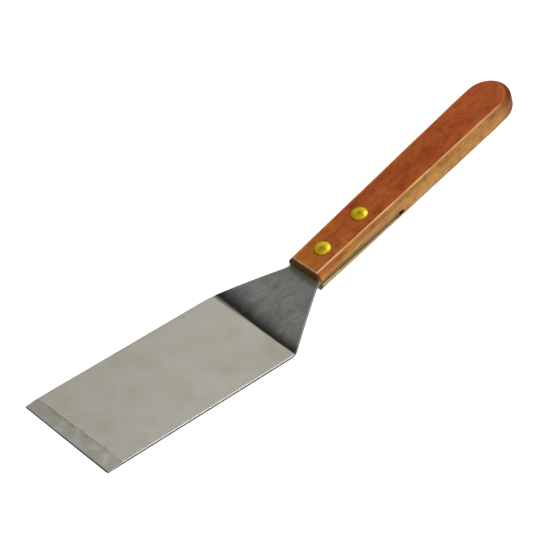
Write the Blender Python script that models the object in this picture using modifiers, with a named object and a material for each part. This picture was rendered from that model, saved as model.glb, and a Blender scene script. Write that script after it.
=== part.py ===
"""Palette knife with a cranked blade and a riveted wooden handle.

Metres, +Z up. The blade lies flat on z = 0 with its tip toward -X, and the handle rises toward +X.
The origin is under the middle of the whole tool's length and width.
"""

import math

import bmesh
import bpy
import numpy

MM = 0.001

# Driving dimensions, in millimetres and degrees.
SHEET = 1.2
BLADE_WIDTH = 57.0
BLADE_LENGTH = 110.5
TIP_CORNER_RADIUS = 0.8
REAR_CORNER_RADIUS = 14.0
GROUND_BAND_LENGTH = 7.8
GROUND_EDGE_THICKNESS = 0.4

NECK_LENGTH = 34.5
NECK_END_RADIUS = 10.0
NECK_END_SETBACK = 1.0
BEND_RADIUS = 4.0
NECK_START_ANGLE = 23.0
TANG_ANGLE = 16.3

TANG_LENGTH = 54.2
TANG_END_RADIUS = 1.0
TANG_SIDE_STEP = 0.2

HANDLE_LENGTH = 141.0
HANDLE_THICKNESS = 12.0
HANDLE_FRONT_WIDTH = 20.0
HANDLE_BUTT_WIDTH = 24.0
HANDLE_BUTT_ROUNDING = 12.5
HANDLE_ANGLE = 17.9
HANDLE_CHAMFER = 2.2
HANDLE_CORNER_CHAMFER = 0.6
HANDLE_ARRIS_BREAK = 0.3

SLOT_LENGTH = 56.4
CLEARANCE = 0.3

RIVET_PLACES = {"front": 14.0, "rear": 39.2}
RIVET_HEAD_DIAMETER = 8.3
RIVET_HEAD_DEPTH = 1.1
RIVET_DOME_HEIGHT = 0.75
RIVET_TUBE_DIAMETER = 4.8
RIVET_SHANK_DIAMETER = 2.6
RIVET_RIM_HEIGHT = 0.12

# How finely the round and bent stretches are divided.
ROUND_STEPS = 40
BUTT_STEPS = 24
DOME_STEPS = 5
CORNER_STEPS = 6
BEND_STEPS = 4
NECK_STEPS = 12
SHEET_COLUMNS = 6
WALK_STEP = 0.1

# How far cutters reach past what they cut, and the limits of the mesh tools, in metres and radians.
OVERCUT = 5.0
WELD_DISTANCE = 1e-6
FLAT_ANGLE = math.radians(0.5)
BEVELLED_ANGLE = math.radians(35.0)
SHARP_ANGLE = math.radians(30.0)


def collection(name):
    """Return a new collection linked under the scene."""
    made = bpy.data.collections.new(name)
    bpy.context.scene.collection.children.link(made)
    return made


def clear_scene():
    """Remove every object that the scene starts with."""
    for old in list(bpy.data.objects):
        bpy.data.objects.remove(old, do_unlink=True)


def material(name, colour, roughness, metallic):
    """Return a plain Principled material."""
    made = bpy.data.materials.new(name)
    made.use_nodes = True
    shader = made.node_tree.nodes["Principled BSDF"]
    shader.inputs["Base Color"].default_value = (*colour, 1.0)
    shader.inputs["Roughness"].default_value = roughness
    shader.inputs["Metallic"].default_value = metallic
    return made


def empty(name, parent, home, location=(0.0, 0.0, 0.0), pitch=0.0):
    """Return an empty whose +X rises by pitch degrees."""
    made = bpy.data.objects.new(name, None)
    home.objects.link(made)
    made.parent = parent
    made.location = [value * MM for value in location]
    made.rotation_euler = (0.0, -math.radians(pitch), 0.0)
    return made


def mesh_object(name, bm, parent, home):
    """Turn a bmesh in millimetres into an object under parent."""
    bmesh.ops.scale(bm, vec=(MM, MM, MM), verts=bm.verts)
    bmesh.ops.recalc_face_normals(bm, faces=bm.faces)
    mesh = bpy.data.meshes.new(name)
    bm.to_mesh(mesh)
    bm.free()
    made = bpy.data.objects.new(name, mesh)
    home.objects.link(made)
    made.parent = parent
    return made


def as_cutter(cutter):
    """Mark an object as a cutting tool."""
    cutter.hide_render = True
    cutter.display_type = "WIRE"
    return cutter


def cut(target, cutter):
    """Cut one object from another with a live Boolean."""
    boolean = target.modifiers.new("cut_" + cutter.name, "BOOLEAN")
    boolean.operation = "DIFFERENCE"
    boolean.object = cutter
    boolean.solver = "EXACT"


def smooth_rounds(made):
    """Shade the round faces smooth and keep the sharp edges."""
    made.data.shade_smooth()
    made.data.set_sharp_from_angle(angle=SHARP_ANGLE)


def handle_half_width(distance):
    """Half width of the handle's widest line at a distance from its front end."""
    front = HANDLE_FRONT_WIDTH / 2
    butt = HANDLE_BUTT_WIDTH / 2
    return front + (butt - front) * distance / HANDLE_LENGTH


def rounded(corners):
    """Round each inner corner (s, w, radius) of an open outline with an arc."""
    points = [corners[0][:2]]
    for before, here, after in zip(corners, corners[1:], corners[2:]):
        s, w, radius = here
        back = (before[0] - s, before[1] - w)
        ahead = (after[0] - s, after[1] - w)
        back_length = math.hypot(*back)
        ahead_length = math.hypot(*ahead)
        back = (back[0] / back_length, back[1] / back_length)
        ahead = (ahead[0] / ahead_length, ahead[1] / ahead_length)
        opening = math.acos(back[0] * ahead[0] + back[1] * ahead[1])
        run = radius / math.tan(opening / 2)
        middle = (back[0] + ahead[0], back[1] + ahead[1])
        reach = radius / math.sin(opening / 2) / math.hypot(*middle)
        centre = (s + middle[0] * reach, w + middle[1] * reach)
        start = math.atan2(w + back[1] * run - centre[1], s + back[0] * run - centre[0])
        end = math.atan2(w + ahead[1] * run - centre[1], s + ahead[0] * run - centre[0])
        turn = (end - start + math.pi) % (2 * math.pi) - math.pi
        for step in range(CORNER_STEPS + 1):
            angle = start + turn * step / CORNER_STEPS
            points.append((centre[0] + radius * math.cos(angle), centre[1] + radius * math.sin(angle)))
    points.append(corners[-1][:2])
    return points


def blade_outline():
    """Half outline of the flat sheet as (distance from the tip, half width)."""
    half = BLADE_WIDTH / 2
    neck_end = BLADE_LENGTH + NECK_LENGTH
    tang_end = neck_end + TANG_LENGTH
    tang_front = handle_half_width(0.0) - TANG_SIDE_STEP
    tang_back = handle_half_width(TANG_LENGTH) - TANG_SIDE_STEP
    corners = [
        (0.0, half - 2 * TIP_CORNER_RADIUS, 0.0),
        (0.0, half, TIP_CORNER_RADIUS),
        (BLADE_LENGTH, half, REAR_CORNER_RADIUS),
        (neck_end - NECK_END_SETBACK, tang_front, NECK_END_RADIUS),
        (tang_end, tang_back, TANG_END_RADIUS),
        (tang_end, tang_back - 2 * TANG_END_RADIUS, 0.0),
    ]
    return rounded(corners)[1:-1]


def bend_run():
    """Length along the sheet that the bend takes."""
    return math.radians(NECK_START_ANGLE) * BEND_RADIUS


def sheet_angle(distance):
    """Rise of the sheet in degrees at a distance from the tip."""
    bend_start = BLADE_LENGTH - bend_run() / 2
    if distance <= bend_start:
        return 0.0
    if distance <= bend_start + bend_run():
        return NECK_START_ANGLE * (distance - bend_start) / bend_run()
    along_neck = min(1.0, (distance - BLADE_LENGTH) / NECK_LENGTH)
    return NECK_START_ANGLE + (TANG_ANGLE - NECK_START_ANGLE) * along_neck


def sheet_point(distance):
    """Middle of the sheet's thickness, as (x, z), at a distance from the tip."""
    x = min(distance, BLADE_LENGTH - BEND_RADIUS)
    z = SHEET / 2
    walked = x
    while walked < distance:
        length = min(WALK_STEP, distance - walked)
        rise = math.radians(sheet_angle(walked + length / 2))
        x += length * math.cos(rise)
        z += length * math.sin(rise)
        walked += length
    return x, z


def blade_rows():
    """Rows of the sheet as (distance, half width), at its outline's points, the bend and the neck."""
    outline = blade_outline()
    distances = [distance for distance, _ in outline]
    halves = [half for _, half in outline]
    bend = [BLADE_LENGTH + bend_run() * (step / BEND_STEPS - 0.5) for step in range(BEND_STEPS + 1)]
    neck = [BLADE_LENGTH + NECK_LENGTH * step / NECK_STEPS for step in range(2, NECK_STEPS)]
    places = sorted({round(place, 4) for place in distances + bend + neck})
    return [(place, float(numpy.interp(place, distances, halves))) for place in places]


def make_blade(parent, home, steel):
    """Blade, neck and tang from one sheet: a grid laid along the bend, thickened by Solidify."""
    rows = blade_rows()
    bm = bmesh.new()
    bmesh.ops.create_grid(bm, x_segments=len(rows) - 1, y_segments=SHEET_COLUMNS, size=0.5)
    for vert in bm.verts:
        row = round((vert.co.x + 0.5) * (len(rows) - 1))
        distance, half = rows[row]
        x, z = sheet_point(distance)
        vert.co = (x, 2 * vert.co.y * half, z)
    blade = mesh_object("blade", bm, parent, home)
    blade.data.materials.append(steel)
    solidify = blade.modifiers.new("sheet_thickness", "SOLIDIFY")
    solidify.thickness = SHEET * MM
    solidify.offset = 0.0
    solidify.use_even_offset = True
    return blade


def make_grinding_cutter(parent, home):
    """Wedge above the tip that leaves the ground band and its thin edge."""
    slope = math.atan2(SHEET - GROUND_EDGE_THICKNESS, GROUND_BAND_LENGTH)
    length = 3 * GROUND_BAND_LENGTH
    height = OVERCUT
    bm = bmesh.new()
    bmesh.ops.create_cube(bm, size=1.0)
    bmesh.ops.scale(bm, vec=(length, BLADE_WIDTH + 2 * OVERCUT, height), verts=bm.verts)
    bmesh.ops.translate(bm, vec=(-length / 2, 0.0, height / 2), verts=bm.verts)
    cutter = mesh_object("grinding_cutter", bm, parent, home)
    cutter.location = (GROUND_BAND_LENGTH * MM, 0.0, SHEET * MM)
    cutter.rotation_euler = (0.0, -slope, 0.0)
    return as_cutter(cutter)


def make_cylinder(name, diameter, low, high, place, parent, home):
    """Upright round cutter between two heights above the tang's middle plane."""
    bm = bmesh.new()
    bmesh.ops.create_cone(
        bm,
        cap_ends=True,
        segments=ROUND_STEPS,
        radius1=diameter / 2,
        radius2=diameter / 2,
        depth=high - low,
    )
    cutter = mesh_object(name, bm, parent, home)
    cutter.location = (place * MM, 0.0, (low + high) / 2 * MM)
    return as_cutter(cutter)


def make_slot_cutter(parent, home):
    """Saw cut for the tang, open at the handle's front and at both its sides."""
    length = SLOT_LENGTH + OVERCUT
    bm = bmesh.new()
    bmesh.ops.create_cube(bm, size=1.0)
    size = (length, HANDLE_BUTT_WIDTH + 2 * OVERCUT, SHEET + 2 * CLEARANCE)
    bmesh.ops.scale(bm, vec=size, verts=bm.verts)
    cutter = mesh_object("slot_cutter", bm, parent, home)
    cutter.location = ((length / 2 - OVERCUT) * MM, 0.0, 0.0)
    return as_cutter(cutter)


def outline_curve(name, outline, thickness, home):
    """Filled flat curve through the outline's points, with the given thickness."""
    curve = bpy.data.curves.new(name, "CURVE")
    curve.dimensions = "2D"
    curve.fill_mode = "BOTH"
    curve.extrude = thickness / 2 * MM
    spline = curve.splines.new("POLY")
    spline.points.add(len(outline) - 1)
    for point, (x, y) in zip(spline.points, outline):
        point.co = (x * MM, y * MM, 0.0, 1.0)
    spline.use_cyclic_u = True
    drawn = bpy.data.objects.new(name, curve)
    home.objects.link(drawn)
    return drawn


def curve_to_mesh(drawn, name, home):
    """Replace a drawn curve by a welded mesh object in the same place."""
    bpy.context.view_layer.update()
    evaluated = drawn.evaluated_get(bpy.context.evaluated_depsgraph_get())
    mesh = bpy.data.meshes.new_from_object(evaluated)
    bm = bmesh.new()
    bm.from_mesh(mesh)
    bmesh.ops.remove_doubles(bm, verts=bm.verts, dist=WELD_DISTANCE)
    bmesh.ops.dissolve_limit(bm, angle_limit=FLAT_ANGLE, verts=bm.verts, edges=bm.edges)
    bmesh.ops.recalc_face_normals(bm, faces=bm.faces)
    bm.to_mesh(mesh)
    bm.free()
    made = bpy.data.objects.new(name, mesh)
    home.objects.link(made)
    made.parent = drawn.parent
    made.matrix_world = drawn.matrix_world
    bpy.data.objects.remove(drawn, do_unlink=True)
    return made


def weigh_handle_edges(mesh):
    """Set how far each edge of the handle blank is chamfered: the rims fully, the front corners a little."""
    places = numpy.array([vertex.co for vertex in mesh.vertices])
    ends = numpy.array([edge.vertices for edge in mesh.edges])
    along_rim = numpy.isclose(places[ends[:, 0], 2], places[ends[:, 1], 2], atol=WELD_DISTANCE)
    at_front = numpy.isclose(places[ends, 0], 0.0, atol=WELD_DISTANCE).all(axis=1)
    weights = numpy.where(along_rim, 1.0, numpy.where(at_front, HANDLE_CORNER_CHAMFER / HANDLE_CHAMFER, 0.0))
    mesh.attributes.new("bevel_weight_edge", "FLOAT", "EDGE").data.foreach_set("value", weights)


def make_handle(parent, home, wood):
    """Handle blank from its plan outline, chamfered round both rims."""
    shoulder = HANDLE_LENGTH - HANDLE_BUTT_ROUNDING
    butt = handle_half_width(shoulder)
    outline = [(0.0, -handle_half_width(0.0))]
    for step in range(BUTT_STEPS + 1):
        angle = math.pi * (step / BUTT_STEPS - 0.5)
        outline.append((shoulder + HANDLE_BUTT_ROUNDING * math.cos(angle), butt * math.sin(angle)))
    outline.append((0.0, handle_half_width(0.0)))
    drawn = outline_curve("handle_outline", outline, HANDLE_THICKNESS, home)
    drawn.parent = parent
    drawn.rotation_euler = (0.0, -math.radians(HANDLE_ANGLE - TANG_ANGLE), 0.0)
    handle = curve_to_mesh(drawn, "handle", home)
    handle.data.materials.clear()
    handle.data.materials.append(wood)
    weigh_handle_edges(handle.data)
    chamfer = handle.modifiers.new("chamfer", "BEVEL")
    chamfer.width = HANDLE_CHAMFER * MM
    chamfer.segments = 1
    chamfer.limit_method = "WEIGHT"
    arris_break = handle.modifiers.new("arris_break", "BEVEL")
    arris_break.width = HANDLE_ARRIS_BREAK * MM
    arris_break.segments = 2
    arris_break.limit_method = "ANGLE"
    arris_break.angle_limit = BEVELLED_ANGLE
    return handle


def handle_face(place, side):
    """Height of the handle's top (side 1) or bottom (side -1) face above the tang's middle plane."""
    lean = math.radians(HANDLE_ANGLE - TANG_ANGLE)
    return (side * HANDLE_THICKNESS / 2 + place * math.sin(lean)) / math.cos(lean)


def dome(radius, rim, height, side):
    """Points of a domed head, from its middle out to its rim, above (1) or below (-1) the handle."""
    sphere = (radius**2 + height**2) / (2 * height)
    spread = math.asin(radius / sphere)
    points = []
    for step in range(DOME_STEPS + 1):
        angle = spread * step / DOME_STEPS
        rise = sphere * math.cos(angle) - (sphere - height)
        points.append((sphere * math.sin(angle), rim + side * rise))
    return points


def turned(name, profile, place, parent, home, metal):
    """Turn a profile of (radius, height) about an axis square to the tang."""
    bm = bmesh.new()
    verts = [bm.verts.new((radius * MM, 0.0, height * MM)) for radius, height in profile]
    for start, end in zip(verts, verts[1:]):
        bm.edges.new((start, end))
    mesh = bpy.data.meshes.new(name)
    bm.to_mesh(mesh)
    bm.free()
    made = bpy.data.objects.new(name, mesh)
    home.objects.link(made)
    made.parent = parent
    made.location = (place * MM, 0.0, 0.0)
    mesh.materials.append(metal)
    screw = made.modifiers.new("turn", "SCREW")
    screw.axis = "Z"
    screw.steps = ROUND_STEPS
    screw.render_steps = ROUND_STEPS
    screw.use_merge_vertices = True
    screw.merge_threshold = WELD_DISTANCE
    screw.use_smooth_shade = True
    return made


def make_rivet(end, place, parent, home, brass):
    """Compression rivet: the male half's shank enters the female half's tube."""
    head = RIVET_HEAD_DIAMETER / 2
    top = handle_face(place, 1)
    bottom = handle_face(place, -1)
    upper_seat = top - RIVET_HEAD_DEPTH
    lower_seat = bottom + RIVET_HEAD_DEPTH
    shank = RIVET_SHANK_DIAMETER / 2
    bore = shank + CLEARANCE
    tube = RIVET_TUBE_DIAMETER / 2

    male = dome(head, top + RIVET_RIM_HEIGHT, RIVET_DOME_HEIGHT, 1)
    male += [(head, upper_seat), (shank, upper_seat), (shank, lower_seat + CLEARANCE)]
    male += [(0.0, lower_seat + CLEARANCE)]

    female = [(0.0, lower_seat), (bore, lower_seat)]
    female += [(bore, upper_seat - CLEARANCE), (tube, upper_seat - CLEARANCE)]
    female += [(tube, lower_seat), (head, lower_seat)]
    female += reversed(dome(head, bottom - RIVET_RIM_HEIGHT, RIVET_DOME_HEIGHT, -1))

    turned(end + "_rivet_male", male, place, parent, home, brass)
    turned(end + "_rivet_female", female, place, parent, home, brass)


def drill_for_rivet(end, place, blade, handle, parent, home):
    """Through hole in the wood and the tang, and a seat for each head."""
    top = handle_face(place, 1)
    bottom = handle_face(place, -1)
    bore = RIVET_TUBE_DIAMETER + 2 * CLEARANCE
    seat = RIVET_HEAD_DIAMETER + 2 * CLEARANCE
    floor = RIVET_HEAD_DEPTH + CLEARANCE
    past = HANDLE_THICKNESS / 4
    through = make_cylinder(end + "_bore", bore, bottom - past, top + past, place, parent, home)
    cut(blade, through)
    cut(handle, through)
    upper = make_cylinder(end + "_upper_seat", seat, top - floor, top + past, place, parent, home)
    lower = make_cylinder(end + "_lower_seat", seat, bottom - past, bottom + floor, place, parent, home)
    cut(handle, upper)
    cut(handle, lower)


def centre_on_ground(origin, parts):
    """Slide the whole tool along X so that its length is centred on the origin."""
    bpy.context.view_layer.update()
    depsgraph = bpy.context.evaluated_depsgraph_get()
    places = []
    for made in parts.objects:
        if made.type == "MESH":
            evaluated = made.evaluated_get(depsgraph)
            places += [(evaluated.matrix_world @ vert.co).x for vert in evaluated.data.vertices]
    origin.location.x -= (min(places) + max(places)) / 2
    bpy.context.view_layer.update()


def main():
    clear_scene()
    parts = collection("palette_knife")
    cutters = collection("cutters")
    steel = material("satin_stainless_sheet", (0.36, 0.35, 0.31), 0.38, 1.0)
    wood = material("oiled_reddish_hardwood", (0.31, 0.085, 0.023), 0.48, 0.0)
    brass = material("polished_brass", (0.68, 0.50, 0.05), 0.25, 1.0)

    origin = empty("tool_origin", None, parts)
    tang_x, tang_z = sheet_point(BLADE_LENGTH + NECK_LENGTH)
    tang = empty("tang_plane", origin, parts, (tang_x, 0.0, tang_z), TANG_ANGLE)

    blade = make_blade(origin, parts, steel)
    cut(blade, make_grinding_cutter(origin, cutters))
    handle = make_handle(tang, parts, wood)
    cut(handle, make_slot_cutter(tang, cutters))
    for end, place in RIVET_PLACES.items():
        drill_for_rivet(end, place, blade, handle, tang, cutters)
        make_rivet(end, place, tang, parts, brass)
    smooth_rounds(blade)
    smooth_rounds(handle)
    centre_on_ground(origin, parts)


if __name__ == "__main__":
    main()
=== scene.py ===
"""Looks of a palette knife: a cranked blade of satin steel in a riveted hardwood handle.

It is laid out as a Blender add-on and run as a script. Metres, +Z up. The blade lies flat on z = 0 with
its tip toward -X, and the handle rises toward +X. Sizes below are in millimetres and degrees.
"""

import math

import bmesh
import bpy
import numpy as np
from mathutils import Matrix, Vector, geometry, noise


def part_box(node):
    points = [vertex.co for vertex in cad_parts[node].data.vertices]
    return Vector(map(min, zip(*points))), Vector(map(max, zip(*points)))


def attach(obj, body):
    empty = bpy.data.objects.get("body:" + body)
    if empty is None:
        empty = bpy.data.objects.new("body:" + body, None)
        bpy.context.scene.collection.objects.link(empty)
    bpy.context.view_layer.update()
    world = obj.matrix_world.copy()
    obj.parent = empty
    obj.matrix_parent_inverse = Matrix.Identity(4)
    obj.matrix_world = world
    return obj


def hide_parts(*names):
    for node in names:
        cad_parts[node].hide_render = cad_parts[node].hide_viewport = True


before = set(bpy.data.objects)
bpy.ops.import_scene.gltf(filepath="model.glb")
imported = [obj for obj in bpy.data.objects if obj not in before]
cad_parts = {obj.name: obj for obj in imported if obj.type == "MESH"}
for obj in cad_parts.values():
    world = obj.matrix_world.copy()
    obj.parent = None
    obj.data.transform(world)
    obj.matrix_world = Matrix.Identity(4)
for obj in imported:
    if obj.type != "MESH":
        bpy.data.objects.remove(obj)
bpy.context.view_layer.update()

bl_info = {
    "name": "Palette Knife",
    "version": (1, 0, 0),
    "blender": (4, 5, 0),
    "location": "3D View > Sidebar > Palette Knife",
    "description": "Makes a cranked palette knife with a riveted hardwood handle, and a plain studio for it",
    "category": "Object",
}

MM = 0.001
WELD = 1e-6

# Sheet: plan sizes measured flat along the sheet, before it is cranked.
SHEET = 1.2
SHEET_COLUMNS = 73
# The sheared edge in section, as (inset from the widest line, depth below the sheet's top).
SHEARED_EDGE = (
    (0.5, 0.0),
    (0.32, 0.012),
    (0.18, 0.045),
    (0.08, 0.1),
    (0.02, 0.18),
    (0.0, 0.3),
    (0.02, 0.6),
    (0.0, 0.9),
    (0.01, 1.05),
    (0.05, 1.15),
    (0.13, 1.2),
)
BAND_ASKEW = 0.035
# How the band's inner line wanders: (depth, size of its bends, seed).
BAND_WANDER = ((0.38, 8.0, 1), (0.26, 1.9, 2), (0.14, 0.7, 6))
FRONT_ROLL = 0.16
FRONT_ROLL_LENGTH = 0.25
FRONT_WEAR = 0.07
FRONT_WEAR_LENGTH = 0.7
NICK_DEPTH = 0.26
SHEET_LIFT = 0.018
TIP_CORNER_RADIUS = 0.8
REAR_CORNER_RADIUS = 14.0
NECK_END_RADIUS = 10.0
NECK_END_SETBACK = 1.0
TANG_LENGTH = 54.2
TANG_END_RADIUS = 1.0
TANG_SIDE_STEP = 0.2
BEND_RADIUS = 4.0
BEND_ANGLE = 23.0
TANG_ANGLE = 16.3

# Handle.
HANDLE_FRONT_WIDTH = 20.0
HANDLE_BUTT_WIDTH = 24.0
HANDLE_BUTT_ROUNDING = 12.5
HANDLE_THICKNESS = 12.0
HANDLE_ANGLE = 17.9
FRONT_CORNER_RADIUS = 0.55
RIM_DEPTH = 4.6
# The chamfer's inset and drop, and the rounding of its outer and inner arris.
RIM_ALONG_SIDES = (2.2, 2.2, 0.7, 0.28)
RIM_AT_BUTT = (3.0, 2.6, 2.2, 1.2)
# Points on the handle's widest line: along a side, round half the butt, round a corner, across the front.
SIDE_STEPS = 128
BUTT_STEPS = 27
CORNER_STEPS = 5
FRONT_STEPS = 21
NET_SPACING = 1.25
WOOD_WAVE = 0.05
WOOD_SANDING = 0.018
WOOD_DENT = 0.22
WOOD_END_MARGINS = (6.0, 12.0)
SLOT_LENGTH = 56.4
SLOT_GAP_ABOVE = 0.3
SLOT_GAP_BELOW = 0.16
SLOT_WANDER = 0.05

# Rivets.
RIVET_PLACES = {"front": 14.0, "rear": 39.2}
RIVET_HEAD_DEPTH = 1.1
RIVET_SHANK = 2.6
RIVET_TUBE = 4.8
RIVET_BORE_GAP = 0.3
RIVET_SEAT_GAP = 0.08
RIVET_SEAT_FLARE = 0.05
RIVET_SEAT_FLARE_DEPTH = 0.25
HEAD_EDGE_ROUND = 0.22
HEAD_FLAT_RIM = 0.4
HEAD_UNEVENNESS = 0.02


def linear(code):
    """Turn an sRGB hex colour into the linear colour that shaders take."""
    parts = [int(code[start : start + 2], 16) / 255 for start in (1, 3, 5)]
    return tuple(part / 12.92 if part <= 0.04045 else ((part + 0.055) / 1.055) ** 2.4 for part in parts)


class PaletteKnifeSizes(bpy.types.PropertyGroup):
    """Sizes of the knife that a user would change"""

    blade_width: bpy.props.FloatProperty(
        name="Blade Width", description="Width of the flat blade", default=57.0 * MM, unit="LENGTH"
    )
    blade_length: bpy.props.FloatProperty(
        name="Blade Length",
        description="Flat blade from its tip to the bend",
        default=110.5 * MM,
        unit="LENGTH",
    )
    band_length: bpy.props.FloatProperty(
        name="Ground Band",
        description="Length of the ground band at the tip",
        default=7.8 * MM,
        unit="LENGTH",
    )
    edge_thickness: bpy.props.FloatProperty(
        name="Edge Thickness",
        description="Thickness of the ground front edge",
        default=0.4 * MM,
        unit="LENGTH",
    )
    neck_length: bpy.props.FloatProperty(
        name="Neck Length", description="Neck from the bend to the handle", default=34.5 * MM, unit="LENGTH"
    )
    handle_length: bpy.props.FloatProperty(
        name="Handle Length", description="Length of the wooden handle", default=141.0 * MM, unit="LENGTH"
    )
    rivet_head: bpy.props.FloatProperty(
        name="Rivet Head", description="Diameter of the rivet heads", default=8.3 * MM, unit="LENGTH"
    )
    rivet_dome: bpy.props.FloatProperty(
        name="Rivet Dome", description="Height of the rivet heads' dome", default=0.75 * MM, unit="LENGTH"
    )


class PaletteKnifeColours(bpy.types.PropertyGroup):
    """Colours of the knife and its studio that a user would change"""

    steel: bpy.props.FloatVectorProperty(
        name="Steel",
        description="Satin steel sheet",
        default=linear("#CBCAC5"),
        subtype="COLOR",
        min=0,
        max=1,
    )
    wood: bpy.props.FloatVectorProperty(
        name="Wood",
        description="Oiled wood of the broad faces",
        default=linear("#BE6829"),
        subtype="COLOR",
        min=0,
        max=1,
    )
    # Partly painted light: the flanks are painted paler still on the side that faces the key light.
    wood_flank: bpy.props.FloatVectorProperty(
        name="Wood Flanks",
        description="Paler sanded wood of the sides",
        default=linear("#BA9248"),
        subtype="COLOR",
        min=0,
        max=1,
    )
    brass: bpy.props.FloatVectorProperty(
        name="Brass",
        description="Polished brass of the rivets",
        default=linear("#FFE023"),
        subtype="COLOR",
        min=0,
        max=1,
    )
    floor: bpy.props.FloatVectorProperty(
        name="Floor",
        description="Plain studio floor",
        default=linear("#9C9C9C"),
        subtype="COLOR",
        min=0,
        max=1,
    )



# Shared tools.


def add_node(tree, kind, inputs=None, **settings):
    """Add a node, with its settings, and give its inputs values or links."""
    node = tree.nodes.new(kind)
    for name, value in settings.items():
        setattr(node, name, value)
    for key, value in (inputs or {}).items():
        if isinstance(value, bpy.types.NodeSocket):
            tree.links.new(value, node.inputs[key])
        else:
            node.inputs[key].default_value = value
    return node


def set_stops(ramp, stops):
    """Give a Color Ramp its (place, grey level or hex colour) stops."""
    elements = ramp.color_ramp.elements
    while len(elements) < len(stops):
        elements.new(0.5)
    for element, (place, colour) in zip(elements, stops):
        element.position = place
        element.color = (*(linear(colour) if isinstance(colour, str) else [colour] * 3), 1.0)
    return ramp.outputs["Color"]


def lay_tones(tree, tone, layers, known):
    """Lay the tones of a table (mask, strength, tone, blend) over a tone, and return the last.

    A mask of None lays the tone everywhere. A tone is the name of one that is known, or a hex colour.
    """
    for mask, strength, laid, blend in layers:
        share = strength
        if mask:
            terms = {0: known[mask], 1: strength}
            share = add_node(tree, "ShaderNodeMath", terms, operation="MULTIPLY").outputs[0]
        inputs = {"Factor": share, 6: tone, 7: known[laid] if laid in known else (*linear(laid), 1.0)}
        tone = add_node(tree, "ShaderNodeMix", inputs, data_type="RGBA", blend_type=blend).outputs[2]
    return tone


def connect_surface(tree, shader, tone, known):
    """Give a shader its tone, its roughness, and its relief from a height in millimetres."""
    relief = add_node(tree, "ShaderNodeBump", {"Height": known["height"], "Distance": MM, "Strength": 1.0})
    tree.links.new(tone, shader.inputs["Base Color"])
    tree.links.new(known["roughness"], shader.inputs["Roughness"])
    tree.links.new(relief.outputs[0], shader.inputs["Normal"])


def new_material(name):
    """Return a material, its tree and its Principled shader."""
    made = bpy.data.materials.new(name)
    made.use_nodes = True
    return made, made.node_tree, made.node_tree.nodes["Principled BSDF"]


def new_tree(name, sockets):
    """Return a Geometry Nodes tree, its input node and its output node, with the named inputs."""
    tree = bpy.data.node_groups.new(name, "GeometryNodeTree")
    tree.interface.new_socket("Geometry", in_out="INPUT", socket_type="NodeSocketGeometry")
    tree.interface.new_socket("Geometry", in_out="OUTPUT", socket_type="NodeSocketGeometry")
    for label, kind in sockets:
        tree.interface.new_socket(label, in_out="INPUT", socket_type=kind)
    return tree, tree.nodes.new("NodeGroupInput"), tree.nodes.new("NodeGroupOutput")


def do_sums(tree, sums, known):
    """Work out a table of sums (result, operation, first, second), and keep every result by name."""
    for result, operation, first, second in sums:
        terms = {0: known.get(first, first), 1: known.get(second, second)}
        known[result] = add_node(tree, "ShaderNodeMath", terms, operation=operation).outputs[0]


def run_tree(made, tree, values):
    """Add a tree to an object as a modifier, with its inputs set by the sockets' identifiers."""
    modifier = made.modifiers.new(tree.name, "NODES")
    modifier.node_group = tree
    for item in tree.interface.items_tree:
        if item.in_out == "INPUT" and item.name in values:
            modifier[item.identifier] = values[item.name]
    return modifier


def flattened(made):
    """Turn an object's live modifiers into its plain mesh."""
    bpy.context.view_layer.update()
    evaluated = made.evaluated_get(bpy.context.evaluated_depsgraph_get())
    mesh = bpy.data.meshes.new_from_object(evaluated)
    made.modifiers.clear()
    old = made.data
    made.data = mesh
    mesh.name = made.name
    bpy.data.meshes.remove(old)
    return made


def new_object(name, points, faces):
    """Return a mesh object in the scene from points in metres and faces."""
    mesh = bpy.data.meshes.new(name)
    mesh.from_pydata([tuple(point) for point in points], [], faces)
    made = bpy.data.objects.new(name, mesh)
    bpy.context.scene.collection.objects.link(made)
    return made


def closed_shell(made):
    """Merge an object's doubles and turn its faces outward."""
    bm = bmesh.new()
    bm.from_mesh(made.data)
    bmesh.ops.remove_doubles(bm, verts=bm.verts, dist=WELD)
    bmesh.ops.dissolve_degenerate(bm, edges=bm.edges, dist=WELD)
    bmesh.ops.recalc_face_normals(bm, faces=bm.faces)
    bm.to_mesh(made.data)
    bm.free()
    open_edges = [edge for edge in edge_use(made.data) if edge != 2]
    if open_edges:
        raise RuntimeError(f"{made.name} has {len(open_edges)} edges that don't join two faces")
    return made


def edge_use(mesh):
    """Return how many faces each edge of a mesh joins."""
    use = np.zeros(len(mesh.edges), dtype=int)
    loops = np.empty(len(mesh.loops), dtype=np.int32)
    mesh.loops.foreach_get("edge_index", loops)
    np.add.at(use, loops, 1)
    return use


def cut(made, cutter):
    """Cut one closed object from another, and remove the cutter."""
    boolean = made.modifiers.new("cut", "BOOLEAN")
    boolean.operation = "DIFFERENCE"
    boolean.object = cutter
    boolean.solver = "EXACT"
    flattened(made)
    bpy.data.objects.remove(cutter, do_unlink=True)


def points_of(mesh):
    """Return a mesh's points as an array."""
    flat = np.empty(3 * len(mesh.vertices), dtype=np.float32)
    mesh.vertices.foreach_get("co", flat)
    return flat.reshape(-1, 3).astype(float)


def move_points(mesh, points):
    """Put a mesh's points where the array says."""
    mesh.vertices.foreach_set("co", np.asarray(points, dtype=np.float32).ravel())
    mesh.update()


def store(mesh, name, values):
    """Keep a number for each point of a mesh, which a material reads by name."""
    flat = np.asarray(values, dtype=np.float32)
    mesh.attributes.new(name, "FLOAT", "POINT").data.foreach_set("value", flat)


def store_places(mesh, name, places):
    """Keep a place for each point of a mesh, such as where it lay before the mesh was bent."""
    flat = np.asarray(places, dtype=np.float32).ravel()
    mesh.attributes.new(name, "FLOAT_VECTOR", "POINT").data.foreach_set("vector", flat)


def shade(mesh, angle):
    """Shade a mesh smooth, with its edges sharper than an angle kept."""
    mesh.shade_smooth()
    mesh.set_sharp_from_angle(angle=math.radians(angle))


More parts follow.
